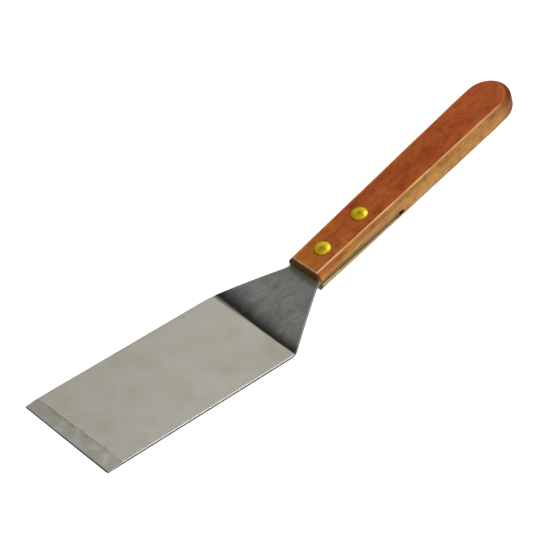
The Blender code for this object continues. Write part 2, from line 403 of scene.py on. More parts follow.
def finish_piece(made, materials, node):
    """Give a piece its materials, hide the CAD part that it stands for, and hang it on the root body."""
    made.data.materials.clear()
    for material in materials:
        made.data.materials.append(material)
    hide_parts(node)
    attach(made, "root")


def ease(values, low, high):
    """Rise smoothly from 0 at low to 1 at high."""
    part = np.clip((np.asarray(values, dtype=float) - low) / (high - low), 0.0, 1.0)
    return part * part * (3.0 - 2.0 * part)


def ripple(points, size, seed):
    """Smooth noise between -1 and 1 at each point, with bumps about that size in the points' unit."""
    offset = Vector((seed * 17.3, seed * 5.1, seed * 9.7))
    return np.array([noise.noise(Vector(point) / size + offset) for point in points])


def rounded(corners, steps):
    """Round each inner corner (a, b, radius) of an open outline with an arc."""
    points = [corners[0][:2]]
    for before, here, after in zip(corners, corners[1:], corners[2:]):
        corner = Vector(here[:2])
        back = (Vector(before[:2]) - corner).normalized()
        ahead = (Vector(after[:2]) - corner).normalized()
        opening = back.angle(ahead)
        run = here[2] / math.tan(opening / 2)
        centre = corner + (back + ahead).normalized() * here[2] / math.sin(opening / 2)
        start = corner + back * run - centre
        end = corner + ahead * run - centre
        turn = (math.atan2(end.y, end.x) - math.atan2(start.y, start.x) + math.pi) % (2 * math.pi) - math.pi
        for step in range(steps + 1):
            arm = Matrix.Rotation(turn * step / steps, 2) @ start
            points.append((centre.x + arm.x, centre.y + arm.y))
    points.append(corners[-1][:2])
    return points


# Blade, neck and tang.


def handle_half_width(distance, length):
    """Half width of the handle's widest line at a distance from its front end, in millimetres."""
    front = HANDLE_FRONT_WIDTH / 2
    return front + (HANDLE_BUTT_WIDTH / 2 - front) * distance / length


def sheet_outline(sizes):
    """Half outline of the flat sheet as (distance from the tip, half width), in millimetres."""
    half = sizes.blade_width / MM / 2
    bend = sizes.blade_length / MM
    handle = sizes.handle_length / MM
    neck_end = bend + sizes.neck_length / MM
    tang_end = neck_end + TANG_LENGTH
    tang_front = handle_half_width(0.0, handle) - TANG_SIDE_STEP
    tang_back = handle_half_width(TANG_LENGTH, handle) - TANG_SIDE_STEP
    corners = [
        (0.0, half - 2 * TIP_CORNER_RADIUS, 0.0),
        (0.0, half, TIP_CORNER_RADIUS),
        (bend, half, REAR_CORNER_RADIUS),
        (neck_end - NECK_END_SETBACK, tang_front, NECK_END_RADIUS),
        (tang_end, tang_back, TANG_END_RADIUS),
        (tang_end, tang_back - 2 * TANG_END_RADIUS, 0.0),
    ]
    return np.array(rounded(corners, 20)[1:-1])


def sheet_bend_tree():
    """Geometry Nodes that roll a flat sheet along X into an arc from a start, over a length, by an angle."""
    sockets = [("Start", "NodeSocketFloat"), ("Length", "NodeSocketFloat"), ("Angle", "NodeSocketFloat")]
    tree, entry, exit_ = new_tree("sheet_bend", sockets + [("Material", "NodeSocketMaterial")])
    position = add_node(tree, "GeometryNodeInputPosition")
    parts = add_node(tree, "ShaderNodeSeparateXYZ", {0: position.outputs[0]})
    known = {"x": parts.outputs["X"], "z": parts.outputs["Z"]}
    known.update({name: entry.outputs[name.capitalize()] for name in ("start", "length", "angle")})
    sums = (
        ("past_start", "SUBTRACT", "x", "start"),
        ("not_before", "MAXIMUM", "past_start", 0.0),
        ("bent", "MINIMUM", "not_before", "length"),
        ("straight", "SUBTRACT", "past_start", "bent"),
        ("share", "DIVIDE", "bent", "length"),
        ("turn", "MULTIPLY", "share", "angle"),
        ("radius", "DIVIDE", "length", "angle"),
        ("inner", "SUBTRACT", "radius", "z"),
        ("sine", "SINE", "turn", 0.0),
        ("cosine", "COSINE", "turn", 0.0),
        ("arc_x", "MULTIPLY", "inner", "sine"),
        ("arc_z", "MULTIPLY", "inner", "cosine"),
        ("run_x", "MULTIPLY", "straight", "cosine"),
        ("run_z", "MULTIPLY", "straight", "sine"),
        ("forward", "ADD", "arc_x", "run_x"),
        ("new_x", "ADD", "forward", "start"),
        ("upward", "SUBTRACT", "radius", "arc_z"),
        ("new_z", "ADD", "upward", "run_z"),
    )
    do_sums(tree, sums, known)
    place = {"X": known["new_x"], "Y": parts.outputs["Y"], "Z": known["new_z"]}
    joined = add_node(tree, "ShaderNodeCombineXYZ", place)
    inputs = {"Geometry": entry.outputs["Geometry"], "Position": joined.outputs[0]}
    moved = add_node(tree, "GeometryNodeSetPosition", inputs)
    plain = add_node(tree, "GeometryNodeRealizeInstances", {"Geometry": moved.outputs[0]})
    inputs = {"Geometry": plain.outputs[0], "Material": entry.outputs["Material"]}
    painted = add_node(tree, "GeometryNodeSetMaterial", inputs)
    tree.links.new(painted.outputs[0], exit_.inputs["Geometry"])
    return tree


def crank(made, tree, sizes, material):
    """Bend a flat sheet twice: the neck's long easy curve first, then the sharp bend behind the blade."""
    bend_run = math.radians(BEND_ANGLE) * BEND_RADIUS * MM
    bends = (
        (sizes.blade_length, sizes.neck_length, math.radians(TANG_ANGLE - BEND_ANGLE)),
        (sizes.blade_length - bend_run / 2, bend_run, math.radians(BEND_ANGLE)),
    )
    for start, length, angle in bends:
        values = {"Start": start, "Length": length, "Angle": angle, "Material": material}
        run_tree(made, tree, values)
        flattened(made)
    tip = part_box("blade")[0][0]
    move_points(made.data, points_of(made.data) + (tip, 0.0, SHEET / 2 * MM))


def tang_frame(sizes, pitch):
    """Matrix from a frame at the neck's end, rising by pitch, to the object's frame, in metres."""
    marker = new_object("neck_end_marker", [(sizes.blade_length + sizes.neck_length, 0.0, 0.0)], [])
    crank(marker, sheet_bend_tree(), sizes, None)
    place = marker.data.vertices[0].co.copy()
    bpy.data.objects.remove(marker, do_unlink=True)
    return Matrix.Translation(place) @ Matrix.Rotation(-math.radians(pitch), 4, "Y")


def joined_loops(loops, count):
    """Faces between closed loops of points, each with the same count of points."""
    faces = []
    for low in range(0, (loops - 1) * count, count):
        for at in range(count):
            after = (at + 1) % count
            faces.append((low + at, low + after, low + count + after, low + count + at))
    return faces


def ladder(one, other):
    """Faces between two chains of points of the same length; the chains may end in a shared point."""
    steps = zip(one, one[1:], other[1:], other)
    return [tuple(dict.fromkeys(corners)) for corners in steps]


def make_flat_sheet(sizes):
    """Closed flat sheet with its ground band, rolled-over edges and nicked front edge, in millimetres.

    Every row across is a closed loop: the top, one edge, the bottom and the other edge.
    """
    outline = sheet_outline(sizes)
    end = outline[-1, 0]
    band = sizes.band_length / MM
    bend = sizes.blade_length / MM
    bend_run = math.radians(BEND_ANGLE) * BEND_RADIUS
    # Rows across the sheet as (from, to, spacing), closest at the front edge and round the bend.
    stretches = (
        (0.0, 0.3, 0.06),
        (0.3, band, 0.3),
        (band, band + 1.0, 0.25),
        (band + 1.0, bend - REAR_CORNER_RADIUS, 0.9),
        (bend - REAR_CORNER_RADIUS, bend - bend_run, 0.5),
        (bend - bend_run, bend + bend_run, 0.16),
        (bend + bend_run, bend + sizes.neck_length / MM + 4.0, 0.7),
        (bend + sizes.neck_length / MM + 4.0, end - 1.2, 1.0),
        (end - 1.2, end, 0.15),
    )
    rows = []
    for low, high, step in stretches:
        rows += list(np.linspace(low, high, max(2, round((high - low) / step)), endpoint=False))
    rows = np.array([*rows, end])
    inner = np.linspace(-1.0, 1.0, SHEET_COLUMNS)[1:-1]
    edge_in, edge_down = np.array(SHEARED_EDGE).T

    loops = []
    distances = []
    walls = []
    side_mask = np.concatenate([np.ones(len(edge_in)), np.zeros(len(inner))] * 2)
    for row in rows:
        half = float(np.interp(row, outline[:, 0], outline[:, 1]))
        flat_half = half - edge_in[0]
        right = np.column_stack([half - edge_in, edge_down])
        left = right[::-1] * (-1, 1)
        top = np.column_stack([inner[::-1] * flat_half, np.zeros(len(inner))])
        bottom = np.column_stack([inner * (half - edge_in[-1]), np.full(len(inner), SHEET)])
        loop = np.concatenate([right, bottom[::-1], left, top[::-1]])
        loops.append(loop)
        distances.append(np.full(len(loop), row))
        # Bare sheared metal and painted shade: the side walls, the rolled-over edge along the neck, painted
        # darker to keep a highlight off it, and the front edge, painted dark as the edge in shade.
        across, depth = loop.T
        side_wall = side_mask * (depth > 0.15) * (depth < 1.1)
        rolled = 0.45 * side_mask * (depth < 0.2) * (across < 0.0) * ease(row, bend - 1.0, bend + 2.0)
        front = 0.32 + 0.16 * ease(-across, -20.0, 24.0)
        walls.append(np.maximum(side_wall + rolled, 1.0 - ease(row, 0.5 * front, front + 0.35)))
    count = len(loops[0])
    y, down = np.concatenate(loops).T
    row = np.concatenate(distances)
    wall = np.concatenate(walls)

    # The band's inner line runs a little askew and wanders, so the rows near it are slid to follow it.
    line = np.column_stack([y, np.zeros_like(y), np.zeros_like(y)])
    here = band - BAND_ASKEW * y
    for depth, size, seed in BAND_WANDER:
        here = here + depth * ripple(line, size, seed)
    fade = 1.0 - ease(row, band, 3.0 * band)
    s = row * np.where(row < band, here / band, 1.0) + np.where(row >= band, (here - band) * fade, 0.0)
    share = s / here
    fall = (SHEET - sizes.edge_thickness / MM) * np.clip(1.0 - share, 0.0, 1.0)
    thickness = SHEET - fall
    z = SHEET / 2 - fall - down / SHEET * thickness

    # Front edge: a tiny roll-off, shallow wear and a few nicks.
    rise = np.clip(s / FRONT_ROLL_LENGTH, 0.0, 1.0)
    roll = FRONT_ROLL * (1.0 - np.sqrt(np.clip(1.0 - (1.0 - rise) ** 2, 0.0, 1.0)))
    z -= np.where(down < SHEET / 2, roll, -0.3 * roll)
    nicks = np.clip(ripple(line, 1.3, 4) - 0.42, 0.0, 1.0) / 0.4
    wear = FRONT_WEAR * (1.0 + ripple(line, 7.0, 3)) + NICK_DEPTH * nicks
    s = s + wear * np.exp(-s / FRONT_WEAR_LENGTH)

    # The rolled sheet isn't dead flat: it lifts by a few hundredths of a millimetre here and there.
    flat = np.column_stack([s, y, np.zeros_like(s)])
    z += SHEET_LIFT * (1.0 + ripple(flat, 26.0, 5)) * ease(s, 6.0, 20.0)

    faces = joined_loops(len(rows), count)
    wall_count = len(edge_in)
    bottom_start = wall_count - 1
    bottom_end = wall_count + len(inner)
    top_start = bottom_end + wall_count - 1
    for low in (0, (len(rows) - 1) * count):
        top_side = [low + at % count for at in range(count, top_start - 1, -1)]
        bottom_side = list(range(low + bottom_start, low + bottom_end + 1))
        faces += ladder(top_side, bottom_side)
        for first in (0, bottom_end):
            side = list(range(low + first, low + first + wall_count))
            faces += ladder(side[: wall_count // 2 + 1], side[: wall_count // 2 - 1 : -1])
    points = np.column_stack([s, y, z]) * MM
    return points, faces, share, wall, down, row


def mark_blade(sizes, y, share, wall, down, row):
    """Where the sheet is ground or sheared, painted shaded at its edges, dark behind the bend, on the neck,
    painted darker toward the handle and lighter beside it, or olive against it, for each point.
    """
    bend = sizes.blade_length / MM
    neck_end = bend + sizes.neck_length / MM
    on_top = down < SHEET / 2
    ragged = np.column_stack([row * 0.6, y, np.zeros_like(y)])
    # The dark stripe starts just behind the bend, and is longer toward +Y.
    past = row - (bend + 0.2 + 1.5 * ease(y, -24.0, 28.0) + 0.25 * ripple(ragged, 5.0, 31))
    reach = 4.4 + 3.5 * ease(y, -20.0, 26.0) + 0.9 * ripple(ragged, 7.0, 32)
    # The ground band stops short of one side along a slanting line, with a bright wedge beside it.
    ended = -y - 18.7 - 4.7 * (1.0 - np.clip(share, 0.0, 1.0)) + 0.5 * ripple(ragged, 2.5, 33)
    wedge = np.exp(-(((ended - 0.6) / 1.5) ** 2)) * ease(share, 0.05, 0.3) * (1.0 - ease(share, 0.7, 1.0))
    return {
        "band": np.where(on_top, np.clip(share, 0.0, 3.0), 3.0),
        "sheared_edge_and_shade": wall,
        "hollow": ease(past, -0.7, 0.2) * np.exp(-((np.clip(past, 0.0, None) / reach) ** 1.7)),
        "tang": ease(row, neck_end - 0.1, neck_end + 0.5),
        "in_band_width": (1.0 - 0.6 * ease(ended, -0.3, 1.1)) * (1.0 - 0.45 * ease(y, 19.0, 27.0)),
        "wedge": wedge * (y < 0.0),
        "inboard": 0.9 * (1.0 - ease(ended, -2.0, 1.5)) * (1.0 - ease(y, 21.5, 25.0)),
        "dull_corner": ease(row, bend - 50.0, bend - 6.0) * ease(-y, -4.0, 24.0),
        "neck": ease(row, bend + 0.5, bend + 3.0),
        # Painted reflection of the dark handle: the neck grows darker toward it.
        "painted_handle_reflection": ease(row, bend + 8.0, neck_end),
        # Painted light beside the handle, and an olive line against it.
        "painted_light_by_handle": np.exp(-(((row - neck_end) / 2.6) ** 2)) * on_top,
        "olive_line": np.exp(-(((row - neck_end + 0.35) / 0.6) ** 2)) * on_top,
    }


class PALETTEKNIFE_OT_blade(bpy.types.Operator):
    """Make the cranked steel blade with its ground band"""

    bl_idname = "palette_knife.blade"
    bl_label = "Make Blade"

    def execute(self, context):
        sizes = context.scene.palette_knife_sizes
        steel = satin_steel(context.scene.palette_knife_colours)
        points, faces, share, wall, down, row = make_flat_sheet(sizes)
        y = points[:, 1] / MM
        blade = new_object("steel_blade", points, faces)
        store_places(blade.data, "flat_sheet", points)
        for mark, values in mark_blade(sizes, y, share, wall, down, row).items():
            store(blade.data, mark, values)
        crank(blade, sheet_bend_tree(), sizes, steel)
        closed_shell(blade)
        bore = RIVET_TUBE / 2 + RIVET_BORE_GAP
        profile = [(0.0, -SHEET), (bore, -SHEET), (bore, SHEET), (0.0, SHEET)]
        for place in RIVET_PLACES.values():
            cut(blade, turned_piece("tang_hole", profile, place, sizes, 40, None))
        shade(blade.data, 40.0)
        finish_piece(blade, [steel], "blade")
        return {"FINISHED"}


# Handle.


def rim_profile(chamfer, drop, outer_round, inner_round):
    """Half of the handle's rim in section, as (inset, height), from the middle of its side to its top."""
    top = HANDLE_THICKNESS / 2
    corners = [
        (0.0, 0.0, 0.0),
        (0.0, top - drop, outer_round),
        (chamfer, top, inner_round),
        (RIM_DEPTH, top, 0.0),
    ]
    return np.array(with_supports(rounded(corners, 6)))


def with_supports(outline):
    """Divide an outline's long straight runs, closely at their ends, so that they are shaded flat."""
    points = [outline[0]]
    for start, end in zip(outline, outline[1:]):
        for part in (0.04, 0.35, 0.65, 0.96) if math.dist(start, end) > 0.9 else ():
            points.append((start[0] + (end[0] - start[0]) * part, start[1] + (end[1] - start[1]) * part))
        points.append(end)
    return points


def handle_outline(sizes):
    """The handle's widest line: points, outward normals and the kind of stretch, in millimetres."""
    length = sizes.handle_length / MM
    shoulder = length - HANDLE_BUTT_ROUNDING
    front = handle_half_width(0.0, length)
    butt = handle_half_width(shoulder, length)
    lean = math.atan2(butt - front, shoulder)
    corner = FRONT_CORNER_RADIUS
    places = []
    for x in np.linspace(corner, shoulder, SIDE_STEPS, endpoint=False):
        places.append((x, handle_half_width(x, length), -math.sin(lean), math.cos(lean), "side"))
    for angle in np.linspace(math.pi / 2, 0.0, BUTT_STEPS):
        x = shoulder + HANDLE_BUTT_ROUNDING * math.cos(angle)
        normal = Vector((math.cos(angle) / HANDLE_BUTT_ROUNDING, math.sin(angle) / butt)).normalized()
        places.append((x, butt * math.sin(angle), normal.x, normal.y, "butt"))
    places += [(x, -y, nx, -ny, kind) for x, y, nx, ny, kind in places[-2::-1]]
    for angle in np.linspace(0.0, math.pi / 2, CORNER_STEPS)[1:]:
        places.append((corner, -(front - corner), -math.sin(angle), -math.cos(angle), "corner"))
    for y in np.linspace(-(front - corner), front - corner, FRONT_STEPS)[1:-1]:
        places.append((0.0, y, -1.0, 0.0, "front"))
    for angle in np.linspace(math.pi / 2, 0.0, CORNER_STEPS)[:-1]:
        places.append((corner, front - corner, -math.sin(angle), math.cos(angle), "corner"))
    return places


def inset_outline(places, inset, sizes):
    """The handle's widest line moved inward by an inset for each of its points."""
    length = sizes.handle_length / MM
    corner = FRONT_CORNER_RADIUS
    points = []
    for (x, y, nx, ny, kind), depth in zip(places, inset):
        if kind == "corner":
            radius = max(0.0, corner - depth)
            slide = max(0.0, depth - corner)
            centre = (x + slide, y - math.copysign(slide, y))
            points.append((centre[0] + nx * radius, centre[1] + ny * radius))
        elif kind == "front":
            half = handle_half_width(0.0, length)
            points.append((depth, y * (half - max(depth, corner)) / (half - corner)))
        elif kind == "side" and x - depth < corner:
            points.append((max(x, depth), y - math.copysign(depth, y)))
        else:
            points.append((x - nx * depth, y - ny * depth))
    return np.array(points)


def make_handle_shell(sizes):
    """Closed handle without its slot: rim loops round the outline, and a fine flat net on top and bottom."""
    places = handle_outline(sizes)
    length = sizes.handle_length / MM
    round_the_butt = ease([place[0] for place in places], length - HANDLE_BUTT_WIDTH, length - 3.0)
    loops = []
    for near, far in zip(rim_profile(*RIM_ALONG_SIDES), rim_profile(*RIM_AT_BUTT)):
        inset = near[0] + (far[0] - near[0]) * round_the_butt
        height = near[1] + (far[1] - near[1]) * round_the_butt
        loops.append(np.column_stack([inset_outline(places, inset, sizes), height]))
    loops = [loop * (1, 1, -1) for loop in reversed(loops[1:])] + loops
    count = len(places)
    points = np.concatenate(loops)
    faces = joined_loops(len(loops), count)
    top_loop = loops[-1][:, :2]
    net, net_faces = flat_net(top_loop)
    inner = len(net) - count
    for side, first in ((1, (len(loops) - 1) * count), (-1, 0)):
        start = len(points)
        height = np.full(inner, side * HANDLE_THICKNESS / 2)
        points = np.concatenate([points, np.column_stack([net[count:], height])])
        for face in net_faces:
            faces.append(tuple(first + at if at < count else start + at - count for at in face))
    return points, faces


def flat_net(outline):
    """Triangles that fill an outline, on points about a millimetre apart."""
    count = len(outline)
    low = outline.min(axis=0)
    high = outline.max(axis=0)
    drawn = [Vector(point) for point in outline]
    for row, x in enumerate(np.arange(low[0] + 0.8, high[0], NET_SPACING)):
        for y in np.arange(low[1] + NET_SPACING * (0.5 if row % 2 else 0.9), high[1], NET_SPACING):
            if clear_of(outline, x, y, 0.55 * NET_SPACING):
                drawn.append(Vector((x, y)))
    found = geometry.delaunay_2d_cdt(drawn, [], [list(range(count))], 1, 1e-4)
    first = [origins[0] for origins in found[3]]
    faces = [tuple(first[at] for at in triangle) for triangle in found[2]]
    return np.array([tuple(point) for point in drawn]), [face for face in faces if len(set(face)) == 3]


def clear_of(outline, x, y, margin):
    """Whether a place is inside a convex outline by at least a margin."""
    ahead = np.roll(outline, -1, axis=0)
    run = ahead - outline
    long = np.hypot(run[:, 0], run[:, 1])
    keep = long > 1e-6
    away = ((x - outline[:, 0]) * run[:, 1] - (y - outline[:, 1]) * run[:, 0])[keep] / long[keep]
    return away.min() > margin or (-away).min() > margin


def wear_handle(points, sizes):
    """Make sanded wood of the exact shape: slow waves on its faces and small dents, always inward."""
    front, butt = WOOD_END_MARGINS
    outward = points.copy()
    outward[:, 0] -= np.clip(points[:, 0], front, sizes.handle_length / MM - butt)
    outward /= np.maximum(np.linalg.norm(outward, axis=1), 1e-6)[:, None]
    slow = WOOD_WAVE * (1.0 + ripple(points * (0.35, 1.0, 1.0), 7.0, 11))
    fine = WOOD_SANDING * (1.0 + ripple(points * (0.5, 1.0, 1.0), 1.7, 12))
    dents = WOOD_DENT * np.clip(ripple(points, 2.4, 13) - 0.52, 0.0, 1.0) / 0.4
    return points - outward * (slow + fine + dents)[:, None]


class PALETTEKNIFE_OT_handle(bpy.types.Operator):
    """Make the sawn, chamfered and oiled wooden handle"""

    bl_idname = "palette_knife.handle"
    bl_label = "Make Handle"

    def execute(self, context):
        sizes = context.scene.palette_knife_sizes
        wood = oiled_hardwood(context.scene.palette_knife_colours)
        points, faces = make_handle_shell(sizes)
        points = wear_handle(points, sizes)
        handle = new_object("wooden_handle", points * MM, faces)
        closed_shell(handle)
        handle.data.transform(tang_frame(sizes, HANDLE_ANGLE))
        cut(handle, slot_cutter(sizes))
        for place in RIVET_PLACES.values():
            cut(handle, rivet_hole_cutter(place, sizes))
        mark_handle(handle, sizes)
        shade(handle.data, 50.0)
        finish_piece(handle, [wood], "handle")
        return {"FINISHED"}


def slot_cutter(sizes):
    """Saw cut for the tang, with slightly wandering walls."""
    xs = np.linspace(-4.0, SLOT_LENGTH, 62)
    ys = np.linspace(-14.0, 14.0, 15)
    points = []
    for side, gap in ((1, SLOT_GAP_ABOVE), (-1, SLOT_GAP_BELOW)):
        for x in xs:
            for y in ys:
                wander = SLOT_WANDER * noise.noise(Vector((x / 6.0, y / 9.0, side * 3.1)))
                points.append((x, y, side * (SHEET / 2 + gap + wander)))
    wide = len(ys)
    half = len(xs) * wide
    faces = []
    for i in range(len(xs) - 1):
        for j in range(wide - 1):
            at = i * wide + j
            faces.append((at, at + wide, at + wide + 1, at + 1))
            faces.append((half + at, half + at + 1, half + at + wide + 1, half + at + wide))
    for i in range(len(xs) - 1):
        for j in (0, wide - 1):
            at = i * wide + j
            faces.append((at, half + at, half + at + wide, at + wide))
    for j in range(wide - 1):
        for i in (0, len(xs) - 1):
            at = i * wide + j
            faces.append((at, at + 1, half + at + 1, half + at))
    cutter = new_object("slot_cutter", np.array(points) * MM, faces)
    closed_shell(cutter)
    cutter.data.transform(tang_frame(sizes, TANG_ANGLE))
    return cutter


def handle_face(place, side):
    """Height of the handle's top (side 1) or bottom (side -1) face above the tang's middle plane."""
    lean = math.radians(HANDLE_ANGLE - TANG_ANGLE)
    return (side * HANDLE_THICKNESS / 2 + place * math.sin(lean)) / math.cos(lean)


def rivet_hole_cutter(place, sizes):
    """Through hole with a flat-bottomed seat for each head."""
    seat = sizes.rivet_head / MM / 2 + RIVET_SEAT_GAP
    bore = RIVET_TUBE / 2 + RIVET_BORE_GAP
    top = handle_face(place, 1)
    bottom = handle_face(place, -1)
    depth = RIVET_HEAD_DEPTH + RIVET_BORE_GAP
    mouth = seat + RIVET_SEAT_FLARE
    half = [(0.0, 1.0), (mouth, 1.0), (mouth, 0.0)]
    half += [(seat, -RIVET_SEAT_FLARE_DEPTH), (seat, -depth), (bore, -depth)]
    profile = [(r, top + z) for r, z in half] + [(r, bottom - z) for r, z in reversed(half)]
    return turned_piece("rivet_hole", profile, place, sizes, 72, None)


def mark_handle(handle, sizes):
    """Store where the handle's wood lies on its flanks, painted paler on the lit side, on arrises with a
    painted highlight, or on end grain, from its shape.
    """
    inverse = tang_frame(sizes, HANDLE_ANGLE).inverted()
    turn = np.array(inverse.to_3x3())
    shift = np.array(inverse.translation)
    local = (points_of(handle.data) @ turn.T + shift) / MM
    length = sizes.handle_length / MM
    x, y, z = local.T
    shoulder = length - HANDLE_BUTT_ROUNDING
    half = handle_half_width(np.clip(x, 0.0, shoulder), length)
    past = np.clip(x - shoulder, 0.0, None) / HANDLE_BUTT_ROUNDING
    reach = np.hypot(past, y / half)
    inset = np.where(past > 0.0, (1.0 - reach) * half, half - np.abs(y))
    inset = np.minimum(inset, x)
    height = np.abs(z)
    top = HANDLE_THICKNESS / 2
    wobble = ripple(local * (0.3, 1.0, 1.0), 3.0, 21)
    # The butt is darker with oil. The flanks are paler sanded wood, and the side that faces -Y, toward the
    # key light, is painted paler than the other, a painted light.
    near_butt = ease(x, length - 17.0, length - 4.0)
    on_broad_face = ease(height, top - 0.5, top - 0.22) * ease(inset, 1.6, 2.2)
    sanded_and_lit_flank = (1.0 - on_broad_face) * np.where(y < 0.0, 1.0, 0.3) * (1.0 - near_butt)
    # Painted highlight: a pale line along the top arrises, weaker near the butt and on the side away from the
    # key light.
    painted_arris_highlight = np.exp(-(((inset - RIM_ALONG_SIDES[0]) / 0.17) ** 2)) * ease(height, top - 0.6, top - 0.2)
    painted_arris_highlight *= (1.0 - 0.6 * near_butt) * np.where((y < 0.0) | (x < 3.0), 1.0, 0.35)
    front_end = (1.0 - ease(x, 1.75, 2.05)) * (1.0 - on_broad_face)
    slot = tang_frame(sizes, TANG_ANGLE).inverted() @ tang_frame(sizes, HANDLE_ANGLE)
    tang_height = (local @ np.array(slot.to_3x3()).T)[:, 2]
    slot_top = SHEET / 2 + SLOT_GAP_ABOVE + 0.08
    slot_bottom = -SHEET / 2 - SLOT_GAP_BELOW - 0.08
    in_slot = (tang_height < slot_top) & (tang_height > slot_bottom)
    marks = {
        "sanded_and_lit_flank": np.clip(sanded_and_lit_flank, 0.0, 1.0),
        "painted_arris_highlight": np.clip(painted_arris_highlight * (0.8 + 0.6 * wobble), 0.0, 1.0),
        "front_end": np.clip(front_end, 0.0, 1.0),
        "butt": near_butt * (1.0 - on_broad_face),
        "slot": in_slot & (x < SLOT_LENGTH + 0.3),
        "slot_lip": (1.0 - ease(tang_height, 1.5, 2.4)) * (x < 0.6) * (tang_height > 0.0),
        "below_slot": ease(-tang_height, 0.4, 0.9) * (y < 0.0) * (1.0 - ease(x, 50.0, 58.0)),
        "near_front": 1.0 - ease(x, 2.0, 42.0),
    }
    for mark, values in marks.items():
        store(handle.data, mark, values)


# Rivets.


def turning_tree():
    """Geometry Nodes that turn a profile of points (radius, 0, height) about Z into a closed shape.

    The shape is lifted off its axis by an uneven amount, then tilted and moved to its place.
    """
    sockets = [
        ("Segments", "NodeSocketInt"),
        ("Unevenness", "NodeSocketFloat"),
        ("Seed", "NodeSocketFloat"),
        ("Pitch", "NodeSocketFloat"),
        ("Place", "NodeSocketVector"),
        ("Full Radius", "NodeSocketFloat"),
        ("Material", "NodeSocketMaterial"),
    ]
    tree, entry, exit_ = new_tree("turning", sockets)
    profile = entry.outputs["Geometry"]
    size = add_node(tree, "GeometryNodeAttributeDomainSize", {"Geometry": profile}, component="MESH")
    index = add_node(tree, "GeometryNodeInputIndex")
    known = {"segments": entry.outputs["Segments"], "index": index.outputs[0]}
    sums = (
        ("across", "ADD", "segments", 1.0),
        ("whole", "DIVIDE", "index", "across"),
        ("nudged", "ADD", "whole", 0.0001),
        ("step", "FLOOR", "nudged", 0.0),
        ("passed", "MULTIPLY", "step", "across"),
        ("spoke", "SUBTRACT", "index", "passed"),
        ("share", "DIVIDE", "spoke", "segments"),
        ("angle", "MULTIPLY", "share", math.tau),
        ("sine", "SINE", "angle", 0.0),
        ("cosine", "COSINE", "angle", 0.0),
    )
    do_sums(tree, sums, known)
    grid = add_node(tree, "GeometryNodeMeshGrid", {"Size X": 1.0, "Size Y": 1.0})
    tree.links.new(size.outputs["Point Count"], grid.inputs["Vertices X"])
    tree.links.new(known["across"], grid.inputs["Vertices Y"])
    position = add_node(tree, "GeometryNodeInputPosition")
    sampled = add_node(
        tree,
        "GeometryNodeSampleIndex",
        {"Geometry": profile, "Value": position.outputs[0], "Index": known["step"]},
        data_type="FLOAT_VECTOR",
        domain="POINT",
    )
    parts = add_node(tree, "ShaderNodeSeparateXYZ", {0: sampled.outputs[0]})
    known["radius"] = parts.outputs["X"]
    known["height"] = parts.outputs["Z"]
    known["full"] = entry.outputs["Full Radius"]
    more = (
        ("x", "MULTIPLY", "radius", "cosine"),
        ("y", "MULTIPLY", "radius", "sine"),
        ("radial", "DIVIDE", "radius", "full"),
    )
    do_sums(tree, more, known)
    turned = add_node(tree, "ShaderNodeCombineXYZ", {"X": known["x"], "Y": known["y"], "Z": known["height"]})
    uneven = add_node(
        tree,
        "ShaderNodeTexNoise",
        {"Vector": turned.outputs[0], "W": entry.outputs["Seed"], "Scale": 1.0 / (2.2 * MM), "Detail": 1.0},
        noise_dimensions="4D",
    )
    known["bump"] = uneven.outputs[0]
    known["unevenness"] = entry.outputs["Unevenness"]
    lift = (("low", "SUBTRACT", "bump", 0.5), ("lift", "MULTIPLY", "low", "unevenness"))
    do_sums(tree, lift, known)
    offset = add_node(tree, "ShaderNodeCombineXYZ", {"Z": known["lift"]})
    inputs = {"Geometry": grid.outputs["Mesh"], "Position": turned.outputs[0], "Offset": offset.outputs[0]}
    placed = add_node(tree, "GeometryNodeSetPosition", inputs)
    marked = add_node(
        tree,
        "GeometryNodeStoreNamedAttribute",
        {"Geometry": placed.outputs[0], "Name": "radial", "Value": known["radial"]},
        data_type="FLOAT",
        domain="POINT",
    )
    merged = add_node(tree, "GeometryNodeMergeByDistance", {"Geometry": marked.outputs[0], "Distance": WELD})
    tilt = add_node(tree, "ShaderNodeCombineXYZ", {"Y": entry.outputs["Pitch"]})
    turn = add_node(tree, "FunctionNodeEulerToRotation", {0: tilt.outputs[0]})
    inputs = {"Translation": entry.outputs["Place"], "Rotation": turn.outputs[0]}
    moved = add_node(tree, "GeometryNodeTransform", {"Geometry": merged.outputs[0], **inputs})
    plain = add_node(tree, "GeometryNodeRealizeInstances", {"Geometry": moved.outputs[0]})
    inputs = {"Geometry": plain.outputs[0], "Material": entry.outputs["Material"]}
    painted = add_node(tree, "GeometryNodeSetMaterial", inputs)
    tree.links.new(painted.outputs[0], exit_.inputs["Geometry"])
    return tree


def turned_piece(name, profile, place, sizes, segments, material, unevenness=0.0, seed=0.0):
    """Turn a profile in millimetres about an axis square to the tang, at a place along it."""
    spot = tang_frame(sizes, TANG_ANGLE) @ Vector((place * MM, 0.0, 0.0))
    made = new_object(name, [(radius * MM, 0.0, height * MM) for radius, height in profile], [])
    values = {
        "Segments": segments,
        "Unevenness": unevenness * MM,
        "Seed": seed,
        "Pitch": -math.radians(TANG_ANGLE),
        "Place": tuple(spot),
        "Full Radius": sizes.rivet_head / 2,
        "Material": material,
    }
    run_tree(made, turning_tree(), values)
    flattened(made)
    return closed_shell(made)


